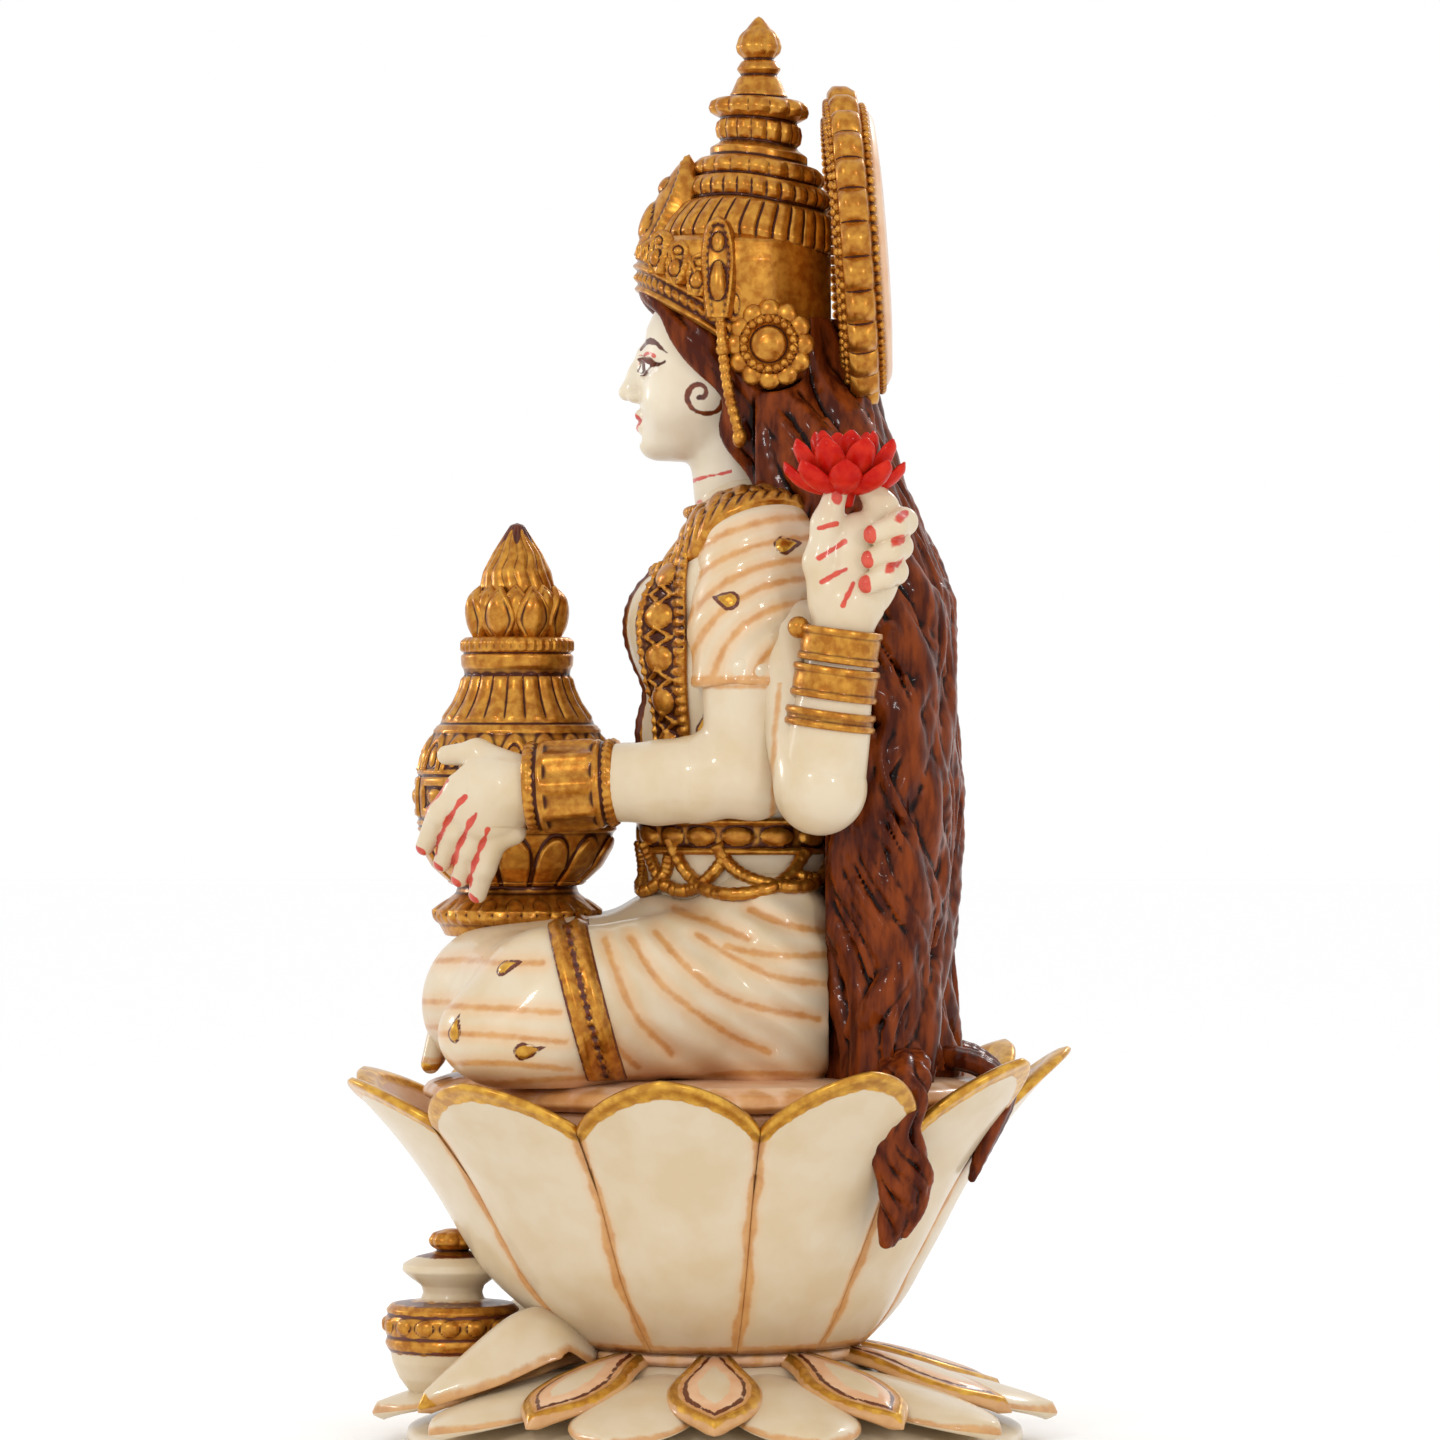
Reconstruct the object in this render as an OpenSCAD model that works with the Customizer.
// Four-armed seated goddess on a lotus: a painted cold-cast figurine, built from its separate castings.
// The origin is the centre of the base's underside, +Z is up, the figure faces -Y, and its left is +X.

/* [Base] */
// Radius of the foot of the base, without its petals
foot_r = 54; // [50:1:58]
// Height of the top of the base, where the neck ring sits
base_top = 15; // [14:0.5:16]
// Petals in each ring of the base
base_petals = 10; // [8:2:12]

/* [Lotus seat] */
// Petals around the seat
seat_petals = 11; // [9:1:11]
// Thickness of a seat petal
petal_wall = 2.6; // [2:0.2:3]
// Height of the flat that the figure sits on
seat_top = 64; // [63:0.5:65]

/* [Figure] */
// Width across the raised hands, to the middle of each wrist
raised_span = 82; // [78:1:86]
// Thickness of a finger
finger_d = 3.4; // [3:0.2:4]

/* [Crown and halo] */
// Radius of the halo to the middle of its lobes
halo_r = 26.2; // [25:0.2:27]
// Lobes around the halo
halo_lobes = 28; // [20:1:32]
// Forward lean of the halo in degrees
halo_lean = 4.3; // [0:0.1:6]

/* [Fits] */
// Glue gap around each cast-in peg
glue_gap = 0.15; // [0.1:0.05:0.3]

/* [Hidden] */
$fn = 48;
facet_fine = 14;
facet_small = 6;
SIDES = ["left", "right"];
two_digits = ["01", "02", "03", "04", "05", "06", "07", "08", "09", "10", "11"];
seat_names = [for (k = [0 : seat_petals - 1]) str("seat_petal_", two_digits[k])];
side_parts = ["saree_band", "shoulder_drape", "front_upper_arm", "front_forearm", "wrist_cuff", "front_hand",
    "raised_upper_arm", "raised_forearm", "bangles", "raised_hand", "lotus_flower", "ear_ornament",
    "hair_locks"];
side_names = [for (part = side_parts, s = SIDES) str(part, "_", s)];

bowl_peg_r = 12;
seat_peg_r = 9;
head_peg_r = 4;
pot_peg_r = 5;
small_peg_r = 1.6;
pin_r = 1.2;
ivory = "#E8DCC0";
shade = "#D8BFA0";
gold = "#C08A2A";
hair_brown = "#4E1C0C";
red = "#C8281E";

// Outline of the lotus bowl, as radius and height, from its neck to its rim
bowl_line = [[24.5, 17.5], [34, 30], [42, 43], [48.5, 55], [50, 59], [50, 60]];
// Outline of the seat petals' inner face above the bowl, flaring out to the tips
flare_line = [[51.5, 61], [56, 64.5], [63.4, 68.6]];
// Half-width and height of one seat petal, from its foot to its tip
leaf_line = [[0, 68.6], [4.5, 67.7], [9, 65.6], [13, 62], [15.5, 57.5], [17, 50], [17, 17.6], [0, 17.6]];

// Where the arms, hands and pot lie, for the figure's left side
elbow_front = [30, 5, 117.5];
wrist_front = [22.5, -17, 115.5];
elbow_raised = [raised_span / 2 - 1, 18, 115];
wrist_raised = [raised_span / 2, 21.5, 141];
pot_y = -34.7;
pot_lap = 90.4;
offering_y = -46;
offering_z = 8.4;
halo_mid = [0, 24.5, 208.8];
crown_y = 7.7;
crown_base = [0, 3.5, 0];
crown_back = 20.3;

module ball(p, r, facets = facet_fine) translate(p) sphere(r, $fn = facets);

// A rounded limb from one ball to the next
module limb(a, ra, b, rb, facets = facet_fine) hull() {
    ball(a, ra, facets);
    ball(b, rb, facets);
}

// A straight twelve-sided rod between two points, as the cast-in pegs are
module rod(a, b, r) {
    d = b - a;
    translate(a)
        rotate([0, acos(d[2] / norm(d)), atan2(d[1], d[0])])
            cylinder(r = r, h = norm(d), $fn = 12);
}

// The same piece on the figure's left, or mirrored to its right
module on_side(s) mirror([s == "right" ? 1 : 0, 0, 0]) children();

module both_sides() {
    children();
    mirror([1, 0, 0]) children();
}

module ring(r, tube, z) translate([0, 0, z]) rotate_extrude() translate([r, 0]) circle(tube, $fn = 24);

// ---- Base ----

module base_plinth() color(ivory) difference() {
    rotate_extrude() polygon([[0, 0], [foot_r, 0], [foot_r, 2.5], [40, 7.5], [30, 12], [26, base_top],
        [0, base_top]]);
    translate([0, 0, 5]) cylinder(r = bowl_peg_r + glue_gap, h = base_top);
    translate([0, offering_y, 2.5]) cylinder(r = 3 + glue_gap, h = 10);
}

// One base petal lying out along +X, with its root under the neck and its tip at the given reach
module base_petal(reach, half_width, root_z, tip_z, thick) hull() {
    ball([29, 0, root_z], thick, facet_small);
    for (side = [-1, 1]) ball([reach * 0.74, side * half_width, (root_z + tip_z) / 2 - 2.2], thick, facet_small);
    ball([reach * 0.72, 0, (root_z + tip_z) / 2 - 0.6], thick, facet_small);
    ball([reach, 0, tip_z], 1, facet_small);
}

module base_petal_ring(turn, reach, half_width, root_z, tip_z, thick) {
    for (k = [0 : base_petals - 1])
        rotate([0, 0, (k + turn) * 360 / base_petals])
            base_petal(reach, half_width, root_z, tip_z, thick);
}

// Solid cut away from the petals, so that they lie on the plinth
module plinth_core(grow) translate([0, 0, -1]) rotate_extrude($fn = 32)
    polygon([[0, 0], [foot_r + grow, 0], [foot_r + grow, 3.5], [40 + grow, 8.5], [30 + grow, 13],
        [26 + grow, base_top + 1], [26 + grow, 30], [0, 30]]);

module lower_petal_ring() base_petal_ring(0.5, 60, 10, 11.2, 4.4, 2);

module base_petals_lower() color(ivory) difference() {
    union() {
        lower_petal_ring();
        translate([0, 0, 9.5]) cylinder(r = 36, h = 2, $fn = 32);
    }
    plinth_core(0);
    pot_room();
}

module base_petals_upper() color(shade) difference() {
    union() {
        base_petal_ring(0, 54, 7, 14.6, 6, 1.6);
        translate([0, 0, 13.5]) cylinder(r = 29.5, h = 2.2, $fn = 32);
    }
    plinth_core(0);
    lower_petal_ring();
    pot_room();
}

// The place for the offering pot on the front petals
module pot_room() translate([0, offering_y, offering_z]) cylinder(r = 11.8, h = 40, $fn = 24);

// The pair of upturned leaves that flank the offering pot
module front_sepals() color(ivory) difference() {
    both_sides() rotate([0, 0, -62]) hull() {
        ball([27.5, 0, 18.2], 1.4, facet_small);
        ball([36, 0, 22.5], 2, facet_small);
        ball([44, -6.5, 12], 1.6, facet_small);
        ball([44, 5, 13], 1.6, facet_small);
        ball([57.5, 0, 8.4], 1, facet_small);
    }
    plinth_core(0);
    pot_room();
    translate([0, 0, 17]) cylinder(r1 = 27, r2 = 38, h = 14, $fn = 32);
    base_petal_ring(0, 54, 7, 14.6, 6, 1.6);
    lower_petal_ring();
}

module base_collar() color(shade) difference() {
    union() {
        translate([0, 0, base_top]) cylinder(r = 23, h = 2.5);
        ring(23, 1.25, base_top + 1.25);
    }
    translate([0, 0, base_top - 1]) cylinder(r = bowl_peg_r + glue_gap, h = 5);
}

// ---- Lotus seat ----

module lotus_bowl() color(ivory) difference() {
    rotate_extrude() polygon(concat([[0, 5.2], [bowl_peg_r, 5.2], [bowl_peg_r, 17.5]], bowl_line, [[0, 60]]));
    translate([0, 0, 52]) cylinder(r = seat_peg_r + glue_gap, h = 10);
}

// The shell that the seat petals are cut from
module petal_shell() {
    face = concat(bowl_line, flare_line);
    count = len(face);
    back = [for (k = [count - 1 : -1 : 0]) face[k] + petal_wall * [1, -0.35 - 0.04 * k]];
    rotate([0, 0, -90 / seat_petals - 8])
        rotate_extrude(angle = 180 / seat_petals + 16) polygon(concat(face, back));
}

module seat_petal(k) color(ivory)
    rotate([0, 0, 90 - k * 360 / seat_petals]) intersection() {
        petal_shell();
        rotate([90, 0, 90]) linear_extrude(80)
            polygon(concat(leaf_line, [for (i = [len(leaf_line) - 2 : -1 : 1]) [-leaf_line[i][0], leaf_line[i][1]]]));
        rotate([0, 0, -180 / seat_petals + 0.25])
            rotate_extrude(angle = 360 / seat_petals - 0.5) square([90, 90]);
    }

module seat_pod() color(shade) difference() {
    rotate_extrude() polygon([[0, 60], [49.5, 60], [50.6, 62], [48, 63.4], [42, seat_top], [0, seat_top]]);
    translate([0, 0, 58]) cylinder(r = seat_peg_r + glue_gap, h = 10);
}

// ---- Figure ----

module leg_forms() both_sides() {
    limb([17, 5, 80], 15.5, [36, -27, 77], 13);
    limb([36, -27, 77], 13, [9, -37.5, 77], 12.5);
    limb([9, -37.5, 77], 12.5, [15, 2, 81], 14);
}

module lower_body() color(ivory) difference() {
    union() {
        intersection() {
            leg_forms();
            translate([-60, -60, seat_top]) cube([120, 120, 36]);
        }
        limb([-17, 5, 80], 15.4, [17, 5, 80], 15.4);
        translate([0, 0, 53]) cylinder(r = seat_peg_r, h = 17, $fn = 24);
    }
    rod([0, 4, 86], [0, 4, 99], 5 + glue_gap);
    translate([0, pot_y, 84]) cylinder(r = pot_peg_r + glue_gap, h = 20, $fn = 24);
    translate([0, pot_y, pot_lap]) cylinder(r = 16, h = 20, $fn = 24);
}

// The strip over the thigh, from the lap down its outer side
module saree_band(s) color(gold) on_side(s) difference() {
    intersection() {
        limb([17, 5, 80], 16.3, [36, -27, 77], 13.8);
        translate([27, -24, 67.5]) rotate([12, 0, -12]) cube([32, 7, 27]);
    }
    limb([17, 5, 80], 15.5, [36, -27, 77], 13);
    limb([36, -27, 77], 13, [9, -37.5, 77], 12.5);
}

module saree_pleats() color(shade) difference() {
    union() for (k = [-2 : 2])
        hull() {
            ball([k * 2.2, -46, 79], 2.4, facet_small);
            ball([k * 5.4, -50.5, 66], 2, facet_small);
        }
    leg_forms();
    translate([-40, -70, seat_top - 10]) cube([80, 40, 10]);
}

module torso_form() {
    hull() {
        both_sides() ball([9, 4, 100], 11);
        both_sides() ball([11.5, 3, 122], 10.5);
        both_sides() ball([10, 10.2, 100], 9);
        both_sides() ball([11, 10.2, 122], 9);
    }
    hull() {
        both_sides() ball([11.5, 3, 122], 10.5);
        both_sides() ball([11, 10.2, 122], 9);
        both_sides() ball([13, -3, 142], 11.5);
        both_sides() ball([13, 9.2, 146], 10);
    }
    hull() {
        both_sides() ball([13, -3, 142], 11.5);
        both_sides() ball([20, 8, 153], 10.5);
        ball([0, 5, 158], 9);
    }
}

module torso() color(ivory) difference() {
    union() {
        difference() {
            torso_form();
            leg_forms();
            limb([-17, 5, 80], 15.4, [17, 5, 80], 15.4);
        }
        rod([0, 5, 162], [0, 4, 168], 6.5);
        rod([0, 4, 86], [0, 4, 96], 5);
    }
    rod([0, 4, 160], [0, 4, 175], head_peg_r + glue_gap);
    ear_clear();
}

// Room for the hair against the back of the figure
module ear_clear() translate([-40, 19, 60]) cube([80, 40, 120]);

module waist_girdle() color(gold) difference() {
    intersection() {
        hull() {
            both_sides() ball([9.4, 4, 100], 12.4);
            both_sides() ball([9.8, 4, 106], 12);
        }
        translate([-40, -40, 96]) cube([80, 59, 12]);
    }
    torso_form();
    leg_forms();
}

module garland_path() intersection() {
    hull() {
        both_sides() ball([13, -4.2, 142], 12);
        both_sides() ball([18, 6, 154], 11);
        both_sides() ball([11, 0, 121], 11.5);
    }
    both_sides() hull() {
        translate([8, -30, 118]) cube([8, 30, 2]);
        translate([14, -30, 160]) cube([6, 36, 2]);
    }
}

module chest_garland() color(gold) difference() {
    garland_path();
    torso_form();
}

module neck_collar() color(gold) difference() {
    translate([0, 3.5, 161.5]) rotate([16, 0, 0])
        rotate_extrude($fn = 24) translate([13, 0]) circle(2.6, $fn = 8);
    torso_form();
    rod([0, 5, 160], [0, 4, 170], 6.6);
    ear_clear();
}

module drape_form(grow) hull() {
    ball([25, 8, 154], 10.5 + grow);
    ball([28, 6, 140], 10 + grow);
}

module shoulder_drape(s) color(shade) on_side(s) difference() {
    drape_form(0);
    torso_form();
    ear_clear();
    garland_path();
    translate([0, -30, 120]) cube([60, 60, 13]);
    rod([29.6, 6, 128], [27.2, 7, 143], 4.6 + glue_gap);
}

module front_upper_arm(s) color(ivory) on_side(s) difference() {
    union() {
        difference() {
            limb([30.2, 5.5, 134], 7.6, elbow_front, 6.8);
            translate([0, -30, 133]) cube([60, 60, 20]);
        }
        rod([29.6, 6, 128], [27.2, 7, 143], 4.6);
    }
    elbow_cut();
    rod(elbow_front + [-0.2, -0.5, 0], wrist_front, small_peg_r + glue_gap);
}

// Plane that parts the upper arm and the forearm just in front of the elbow
module elbow_cut() translate(elbow_front + [-20, -26.5, -20]) cube([40, 22, 40]);

module front_forearm(s) color(ivory) on_side(s) {
    intersection() {
        limb(elbow_front, 6.7, wrist_front, 5.8);
        elbow_cut();
    }
    rod(elbow_front + [-0.4, -1, 0], elbow_front + [-2.6, -7, -0.5], small_peg_r);
}

// The flared cuff that covers the wrist, along the forearm
module wrist_cuff(s) color(gold) on_side(s) difference() {
    hull() {
        ball(wrist_front + [0.2, 0.8, 0], 7.2);
        ball(wrist_front + [-1.4, -13, -0.5], 7.4);
    }
    limb(elbow_front, 6.7, wrist_front, 5.8);
    kalash_form(0.1);
    translate(wrist_front + [-20, 1, -20]) cube([40, 20, 40]);
    translate(wrist_front + [-20, -35, -20]) cube([40, 20.5, 40]);
    hand_root(pin_r + glue_gap);
}

module hand_root(r) rod(wrist_front + [-1.4, -18, -1.5], wrist_front + [-1.2, -10, -1], r);

// A hand laid on the side of the pot, fingers forward and down
module front_hand(s) color(ivory) on_side(s) difference() {
    union() {
        limb([20.5, -33.5, 113], 5.4, [20, -40, 112], 5);
        for (k = [0 : 3]) {
            limb([19, -41.5 + k * 1.4, 113.6 - k * 2.4], finger_d / 2 + 0.4,
                [13.5 + k * 1.2, -50.5 + k * 2.7, 105 - k * 2.8], finger_d / 2, facet_small);
        }
        limb([18.5, -33, 117], finger_d / 2 + 0.5, [16.5, -43.5, 120], finger_d / 2, facet_small);
        hand_root(pin_r);
    }
    kalash_form(0);
    difference() {
        translate(wrist_front + [-20, -14.5, -20]) cube([40, 20, 40]);
        hand_root(pin_r);
    }
}

module raised_upper_arm(s) color(ivory) on_side(s) difference() {
    limb([29, 14, 138], 7.6, elbow_raised, 7.6);
    torso_form();
    drape_form(glue_gap);
    limb([30.2, 5.5, 134], 7.6, elbow_front, 6.8);
    ear_clear_sides();
    raised_cut();
    rod(elbow_raised, wrist_raised, small_peg_r + glue_gap);
}

// Room for the hair beside the raised upper arm
module ear_clear_sides() translate([-30, 19.5, 60]) cube([60, 40, 120]);

// Space above the elbow where the raised forearm begins
module raised_cut() translate(elbow_raised + [-1.5, -12, 3]) rotate([0, 12, 0]) cube([24, 24, 30]);

module raised_forearm(s) color(ivory) on_side(s) {
    intersection() {
        limb(elbow_raised, 7, wrist_raised, 5.4);
        raised_cut();
    }
    rod(elbow_raised, wrist_raised, small_peg_r);
}

// Two wide bangles above and a narrow one below, stacked on the raised forearm
module bangles(s) color(gold) on_side(s) intersection() {
    difference() {
        translate(elbow_raised) rotate([-7.7, 2, 0]) for (spot = [[10.5, 4], [15, 5.2], [20.8, 5.4]])
            translate([0, 0, spot[0]]) difference() {
                cylinder(r = 7.4, h = spot[1]);
                translate([0, 0, -1]) cylinder(r = 6.7 - spot[0] * 0.04, h = spot[1] + 2);
            }
        translate([-60, 0, 0]) cube([60, 60, 250]);
    }
    translate([0, -20, 118]) cube([80, 80, 40]);
}

module raised_hand(s) color(ivory) on_side(s) difference() {
    union() {
        limb(wrist_raised, 5, wrist_raised + [0, 0.8, 10], 6.4);
        limb(wrist_raised + [0.5, -4.2, 10], 2.4, wrist_raised + [1, -3, 23], finger_d / 2, facet_small);
        limb(wrist_raised + [-2.5, 0, 12], 2.4, wrist_raised + [-2, 1.5, 24], finger_d / 2, facet_small);
        for (k = [0 : 2])
            limb(wrist_raised + [4.2 - k * 0.6, 7 - k, 15.5 - k * 3.2], finger_d / 2,
                wrist_raised + [5.6, 1.8, 14 - k * 3], finger_d / 2 - 0.1, facet_small);
    }
    rod(elbow_raised, wrist_raised, small_peg_r + glue_gap);
    limb(elbow_raised, 7, wrist_raised, 5.4);
    rod(flower_foot(), flower_foot() + [0, 0, 8], pin_r + glue_gap);
}

function flower_foot() = wrist_raised + [-0.5, 0.4, 18];

// An open lotus of two rings of pointed petals on a short stem
module lotus_flower(s) color(red) on_side(s) {
    foot = flower_foot() + [0, 0, 6.4];
    rod(foot - [0, 0, 3.5], foot + [0, 0, 2], pin_r);
    translate(foot) {
        cylinder(r1 = 2.6, r2 = 4.5, h = 4);
        for (k = [0 : 15])
            rotate([0, 0, k * 45 + (k > 7 ? 22.5 : 0)])
                hull() {
                    ball([3, 0, 2.4], 1.4, facet_small);
                    ball([k > 7 ? 6 : 7.6, 0, k > 7 ? 6.4 : 4.2], 1.7, facet_small);
                    ball([k > 7 ? 7.6 : 10, 0, k > 7 ? 9.6 : 7], 0.4, facet_small);
                }
    }
}

module hair_cap() {
    hull() {
        ball([0, 6.5, 190], 14.6);
        ball([0, 13, 178], 14);
    }
}

module head_form() {
    hull() {
        ball([0, 3, 193], 13.2, 24);
        ball([0, -2, 186], 11.5, 24);
        ball([0, -6.5, 177.5], 5.5, 24);
    }
    limb([0, 4.5, 168], 7.2, [0, 4, 180], 7.4);
}

module head() color(ivory) difference() {
    union() {
        head_form();
        rod([0, 4, 162.5], [0, 4, 172], head_peg_r);
    }
    difference() {
        translate([-20, -20, 150]) cube([40, 40, 18]);
        rod([0, 4, 162.5], [0, 4, 172], head_peg_r);
    }
    intersection() {
        translate([-25, -30, 180]) cube([50, 60, 40]);
        above_brow();
    }
}

// ---- Crown ----

// Everything above the lower edge of the crown, which slants down over the brow to behind the ear
module above_brow() rotate([90, 0, 90]) linear_extrude(80, center = true)
    polygon([[-30, 212.6], [-14, 201.8], [3.5, 190.5], [40, 190.5], [40, 260], [-30, 260]]);

module crown_solid(grow) translate(crown_base) rotate_extrude() polygon([[0, 190], [15.4 + grow, 190],
    [16.6 + grow, 200], [17.2 + grow, 206], [16 + grow, 210], [0, 210]]);

module crown_band() color(gold) difference() {
    intersection() {
        crown_solid(0);
        above_brow();
    }
    translate([-30, crown_back, 180]) cube([60, 30, 60]);
    translate([0, crown_y - 2, 207]) cylinder(r = 5 + glue_gap, h = 4);
}

// The lathed upper crown, from the ribbed dome up to the bud at the top
module crown_tiers() color(gold) {
    difference() {
        union() {
            translate([0, crown_y - 2, 0]) rotate_extrude() polygon([[0, 210], [14.6, 210], [15.4, 212],
                [13.8, 216], [12.3, 218], [0, 218]]);
            translate([0, crown_y, 0]) rotate_extrude() polygon([[0, 217.5], [12.3, 217.8], [12.6, 219.5],
                [12, 221.4], [11.2, 222.6], [8.6, 225], [8.4, 227.2], [7, 228], [7.2, 232], [8.1, 232.6],
                [8, 235], [5, 235.6], [3.6, 239.4], [3.6, 241.6], [2.2, 242], [3.6, 244], [3, 246.4],
                [1, 249], [0, 250]]);
        }
        translate([-30, crown_back, 180]) cube([60, 30, 60]);
    }
    translate([0, crown_y - 2, 207]) cylinder(r = 5, h = 4);
}

module crown_crest() color(gold) difference() {
    union() {
        hull() {
            translate([-4.5, -14.5, 206]) cube([9, 3, 4]);
            translate([-1.2, -8.4, 222]) cube([2.4, 2.4, 3]);
        }
        both_sides() hull() {
            ball([15.6, 0.6, 198], 2.2, facet_small);
            ball([15.4, 0.6, 206], 2.8, facet_small);
            ball([15, 0.6, 212.6], 0.8, facet_small);
        }
    }
    crown_solid(0);
    crown_tiers();
}

module ear_ornament(s) color(gold) on_side(s) difference() {
    translate([12.6, 9.5, 191.5]) rotate([0, 90, 0]) {
        cylinder(r = 6.3, h = 3.2);
        translate([0, 0, 3.2]) rotate_extrude() translate([4.6, 0]) circle(1.1, $fn = 16);
        for (k = [0 : 11]) rotate([0, 0, k * 30]) translate([6.2, 0, 1.6]) sphere(1.1, $fn = 16);
    }
    crown_solid(0.1);
}

// ---- Hair ----

module hair_forms() {
    hull() {
        ball([0, 11, 190], 14.4);
        both_sides() ball([11, 16, 170], 11);
    }
    hull() {
        both_sides() ball([11, 16, 170], 11);
        both_sides() ball([20, 28, 150], 10);
        ball([0, 27, 150], 13);
    }
    hull() {
        both_sides() ball([20, 28, 150], 10);
        both_sides() ball([24, 30, 112], 10);
        ball([0, 31, 112], 11);
        ball([0, 27, 150], 13);
    }
    hull() {
        both_sides() ball([24, 30, 112], 10);
        both_sides() ball([25, 30, 74], 10);
        ball([0, 31, 112], 11);
        ball([0, 32, 74], 10);
    }
}

module hair_back() color(hair_brown) difference() {
    hair_forms();
    translate([-60, -40, 60]) cube([120, 59.2, 93]);
    translate([-60, 0, 40]) cube([120, 60, 24]);
    head_form();
    torso_form();
    both_sides() drape_form(0);
    both_sides() limb([29, 14, 138], 7.6, elbow_raised, 7.4);
    intersection() {
        crown_solid(0.1);
        above_brow();
    }
    both_sides() translate([12, 9.5, 191.5]) rotate([0, 90, 0]) cylinder(r = 7.5, h = 8, $fn = 24);
    halo_tenon(glue_gap);
}

module hair_locks(s) color(hair_brown) on_side(s) difference() {
    union() {
        limb([29, 33, 68], 4, [41, 36, 65], 4, 10);
        limb([41, 36, 65], 4, [39, 34, 52], 4.2, 10);
        limb([39, 34, 52], 4.2, [35.5, 31, 40], 2.4, 10);
    }
    hair_forms();
    translate([0, 0, 10]) cylinder(r = 50.8, h = 48, $fn = 32);
    for (k = [1, 2]) seat_petal(k);
}

// ---- Halo ----

module halo_tenon(grow) translate([0, 22, 168]) rotate([-12, 0, 0]) translate([-3.4 - grow, -2 - grow, 0])
    cube([6.8 + 2 * grow, 4.4 + 2 * grow, 14]);

module lean_halo() translate(halo_mid) rotate([halo_lean, 0, 0]) children();

module halo_disc(r, y0, y1) rotate([-90, 0, 0]) translate([0, 0, y0]) cylinder(r = r, h = y1 - y0);

module halo_rim() color(gold) difference() {
    union() {
        lean_halo() difference() {
            union() {
                halo_disc(halo_r, -3.4, 3);
                for (k = [0 : halo_lobes - 1])
                    rotate([0, k * 360 / halo_lobes, 0]) translate([halo_r, 0, 0])
                        rotate([-90, 0, 0]) translate([0, 0, -3.4]) cylinder(r = 2.9, h = 6.4, $fn = 24);
            }
            halo_disc(22.5, -2.4, 8);
        }
        halo_tenon(0);
    }
    translate(crown_base) cylinder(r = 17.4, h = 212);
    crown_tiers();
}

module halo_plate() color(shade) lean_halo() {
    halo_disc(22.4, -2.3, 3);
    halo_disc(24.6, 3, 5.2);
}

// ---- Pots ----

kalash_line = [[0, 90.4], [13, 90.4], [14.7, 92.6], [11, 95.4], [10.5, 97.4], [14.2, 100.5], [17.4, 107],
    [18, 114], [17.2, 119], [14.6, 124.6], [14, 126], [10.8, 129.5], [9.1, 133], [9.5, 135.4], [9.6, 140.4],
    [0, 140.4]];

module kalash_form(grow) translate([0, pot_y, 0]) rotate_extrude() polygon([for (p = kalash_line)
    p[0] == 0 ? p : p + [grow, 0]]);

module kalash_body() color(gold) difference() {
    union() {
        kalash_form(0);
        translate([0, pot_y, 84.5]) cylinder(r = pot_peg_r, h = 7);
    }
    translate([0, pot_y, 136]) cylinder(r = 4 + glue_gap, h = 6);
}

module kalash_collar() color(gold) translate([0, pot_y, 0]) {
    translate([0, 0, 136.2]) cylinder(r = 4, h = 6);
    rotate_extrude() polygon([[0, 140.4], [6.8, 140.4], [8.8, 144.5], [8.6, 148.6], [6.7, 149], [5.2, 153],
        [2.4, 158.2], [1.6, 160.2], [0, 160.9]]);
    for (k = [0 : 8]) rotate([0, 0, k * 40]) translate([6.4, 0, 141]) rotate([0, 17, 0])
        cylinder(r1 = 1.2, r2 = 2.1, h = 6.5, $fn = 24);
}

module offering_pot() color(gold) translate([0, offering_y, 0])
    rotate_extrude() polygon([[0, 2.6], [3, 2.6], [3, offering_z], [7.6, offering_z], [9.4, 10.6], [10.9, 15],
        [11.6, 16.4], [11.6, 23], [10.4, 24.2], [5, 24.8], [5, 27], [8.6, 29.4], [8.8, 31], [6, 32.8],
        [2.6, 33.4], [4, 35], [2.6, 36.6], [0, 37]]);

// ---- What is drawn ----

base_plinth();
base_petals_lower();
base_petals_upper();
base_collar();
front_sepals();
lotus_bowl();
seat_pod();
lower_body();
saree_pleats();
waist_girdle();
torso();
chest_garland();
neck_collar();
head();
crown_band();
crown_tiers();
crown_crest();
hair_back();
halo_plate();
halo_rim();
kalash_body();
kalash_collar();
offering_pot();
for (k = [0 : seat_petals - 1]) seat_petal(k);
for (s = SIDES) {
    saree_band(s);
    shoulder_drape(s);
    front_upper_arm(s);
    front_forearm(s);
    wrist_cuff(s);
    front_hand(s);
    raised_upper_arm(s);
    raised_forearm(s);
    bangles(s);
    raised_hand(s);
    lotus_flower(s);
    ear_ornament(s);
    hair_locks(s);
}
